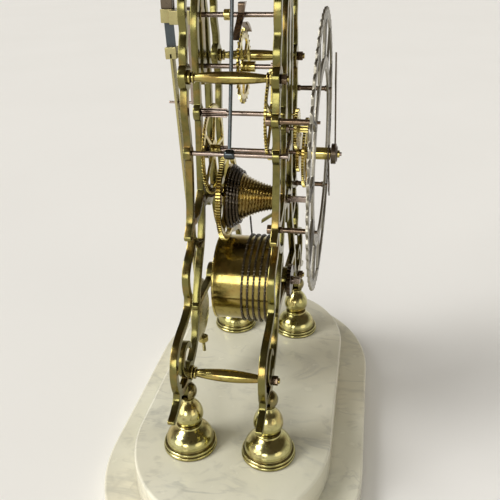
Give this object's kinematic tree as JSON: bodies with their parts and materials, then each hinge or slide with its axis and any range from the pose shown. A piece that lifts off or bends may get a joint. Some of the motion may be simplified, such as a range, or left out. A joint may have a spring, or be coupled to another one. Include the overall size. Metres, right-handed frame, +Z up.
{
  "type": "skeleton clock",
  "caption": "Brass skeleton clock with scroll frames, fusee and chain, pierced dial, pendulum and bell, standing on a stepped marble base.",
  "frame": {"origin": "middle of the underside of the marble base, on the surface it stands on", "axes": "+Z up; the dial faces -Y; +X is to the right of someone facing the dial"},
  "size_m": [0.3186, 0.176, 0.361],
  "materials": {
    "marble": "polished",
    "frame_brass": "satin",
    "brass": "polished",
    "pale_brass": "polished",
    "bell_metal": "polished",
    "silvered_brass": "satin",
    "steel": "polished",
    "dark_steel": "dull",
    "blue_steel": "polished"
  },
  "bodies": {
    "frame": {"base_lower_slab": "marble", "base_upper_slab": "marble", "foot_front_left": "pale_brass", "foot_rear_left": "pale_brass", "foot_front_right": "pale_brass", "foot_rear_right": "pale_brass", "plate_rear": "frame_brass", "plate_front": "frame_brass", "pillar_upper_left": "brass", "pillar_lower_left": "brass", "pillar_upper_right": "brass", "pillar_lower_right": "brass", "pillar_nut_upper_left": "dark_steel", "pillar_nut_lower_left": "dark_steel", "pillar_nut_upper_right": "dark_steel", "pillar_nut_lower_right": "dark_steel", "barrel_arbor": "steel", "barrel_ratchet": "dark_steel", "mainspring": "blue_steel", "stop_block": "brass", "back_cock": "brass", "suspension_block": "dark_steel", "minute_post": "steel", "chapter_ring": "silvered_brass", "dial_post_upper_left": "brass", "dial_post_lower_left": "brass", "dial_post_upper_right": "brass", "dial_post_lower_right": "brass", "bell": "bell_metal", "bell_stand": "steel", "bell_nut": "brass", "fusee_chain": "dark_steel"},
    "centre": {"centre_arbor": "steel", "centre_wheel": "brass", "cannon_wheel": "brass", "minute_hand": "dark_steel"},
    "great": {"great_wheel": "brass"},
    "third": {"third_arbor": "steel", "third_wheel": "brass"},
    "escape": {"escape_arbor": "steel", "escape_wheel": "brass"},
    "minute": {"minute_wheel": "brass"},
    "hour": {"hour_wheel": "brass", "hour_hand": "dark_steel"},
    "fusee": {"fusee_cone": "brass", "fusee_arbor": "steel"},
    "barrel": {"barrel_drum": "brass", "barrel_cap": "brass"},
    "anchor": {"pallet_arbor": "steel", "pallets": "steel", "crutch": "steel"},
    "pendulum": {"suspension_spring": "blue_steel", "pendulum_rod": "brass"},
    "bob": {"pendulum_bob": "brass"},
    "nut": {"rating_nut": "brass"},
    "striker": {"hammer_arbor": "steel", "hammer": "brass"},
    "click": {"barrel_click": "dark_steel"},
    "stop": {"stop_iron": "dark_steel"}
  },
  "joints": [
    {"name": "centre_turn", "type": "hinge", "parent": "frame", "child": "centre", "pos_m": [0, 0, 0.22022], "axis": [0, 1, 0], "continuous": true},
    {"name": "great_turn", "type": "hinge", "parent": "frame", "child": "great", "pos_m": [0, 0, 0.1885], "axis": [0, 1, 0], "continuous": true},
    {"name": "third_turn", "type": "hinge", "parent": "frame", "child": "third", "pos_m": [-0.0145, 0, 0.24771], "axis": [0, 1, 0], "continuous": true},
    {"name": "escape_turn", "type": "hinge", "parent": "frame", "child": "escape", "pos_m": [0, 0, 0.273], "axis": [0, 1, 0], "continuous": true},
    {"name": "minute_wheel_turn", "type": "hinge", "parent": "frame", "child": "minute", "pos_m": [-0.0138, 0, 0.23912], "axis": [0, 1, 0], "continuous": true},
    {"name": "hour_turn", "type": "hinge", "parent": "frame", "child": "hour", "pos_m": [0, 0, 0.22022], "axis": [0, 1, 0], "continuous": true},
    {"name": "fusee_wind", "type": "hinge", "parent": "frame", "child": "fusee", "pos_m": [0, 0, 0.1885], "axis": [0, -1, 0], "range_deg": [-1620, 3420]},
    {"name": "barrel_turn", "type": "hinge", "parent": "frame", "child": "barrel", "pos_m": [0, 0, 0.128], "axis": [0, -1, 0], "range_deg": [-762, 1608]},
    {"name": "pendulum_swing", "type": "hinge", "parent": "frame", "child": "pendulum", "pos_m": [0, 0.0457, 0.3027], "axis": [0, 0.999, -0.0454], "range_deg": [-3, 3]},
    {"name": "pallets_rock", "type": "hinge", "parent": "frame", "child": "anchor", "pos_m": [0, 0, 0.3027], "axis": [0, 1, 0], "range_deg": [-3, 3]},
    {"name": "bob_slide", "type": "slide", "parent": "pendulum", "child": "bob", "axis": [0, 0.0454, 0.999], "range_m": [-0.003, 0.003]},
    {"name": "rating_nut_turn", "type": "hinge", "parent": "bob", "child": "nut", "pos_m": [0, 0.03524, 0.07244], "axis": [0, 0.0454, 0.999], "range_deg": [-1545, 1545]},
    {"name": "hammer_lift", "type": "hinge", "parent": "frame", "child": "striker", "pos_m": [-0.041, 0, 0.23], "axis": [0, 1, 0], "range_deg": [-4.5, 0]},
    {"name": "click_lift", "type": "hinge", "parent": "frame", "child": "click", "pos_m": [0.0168, 0, 0.128], "axis": [0, 1, 0], "range_deg": [0, 15]},
    {"name": "stop_lift", "type": "hinge", "parent": "frame", "child": "stop", "pos_m": [0, -0.02055, 0.1799], "axis": [1, 0, 0], "range_deg": [0, 20]}
  ],
  "couplings": [
    {"joint": "great_turn", "follows": "centre_turn", "ratio": -0.083333},
    {"joint": "third_turn", "follows": "centre_turn", "ratio": -12},
    {"joint": "escape_turn", "follows": "centre_turn", "ratio": 133.71},
    {"joint": "minute_wheel_turn", "follows": "centre_turn", "ratio": -1},
    {"joint": "hour_turn", "follows": "centre_turn", "ratio": 0.083333},
    {"joint": "barrel_turn", "follows": "fusee_wind", "ratio": 0.47},
    {"joint": "pallets_rock", "follows": "pendulum_swing", "ratio": 1},
    {"joint": "rating_nut_turn", "follows": "bob_slide", "rad_per_m": 8976}
  ]
}
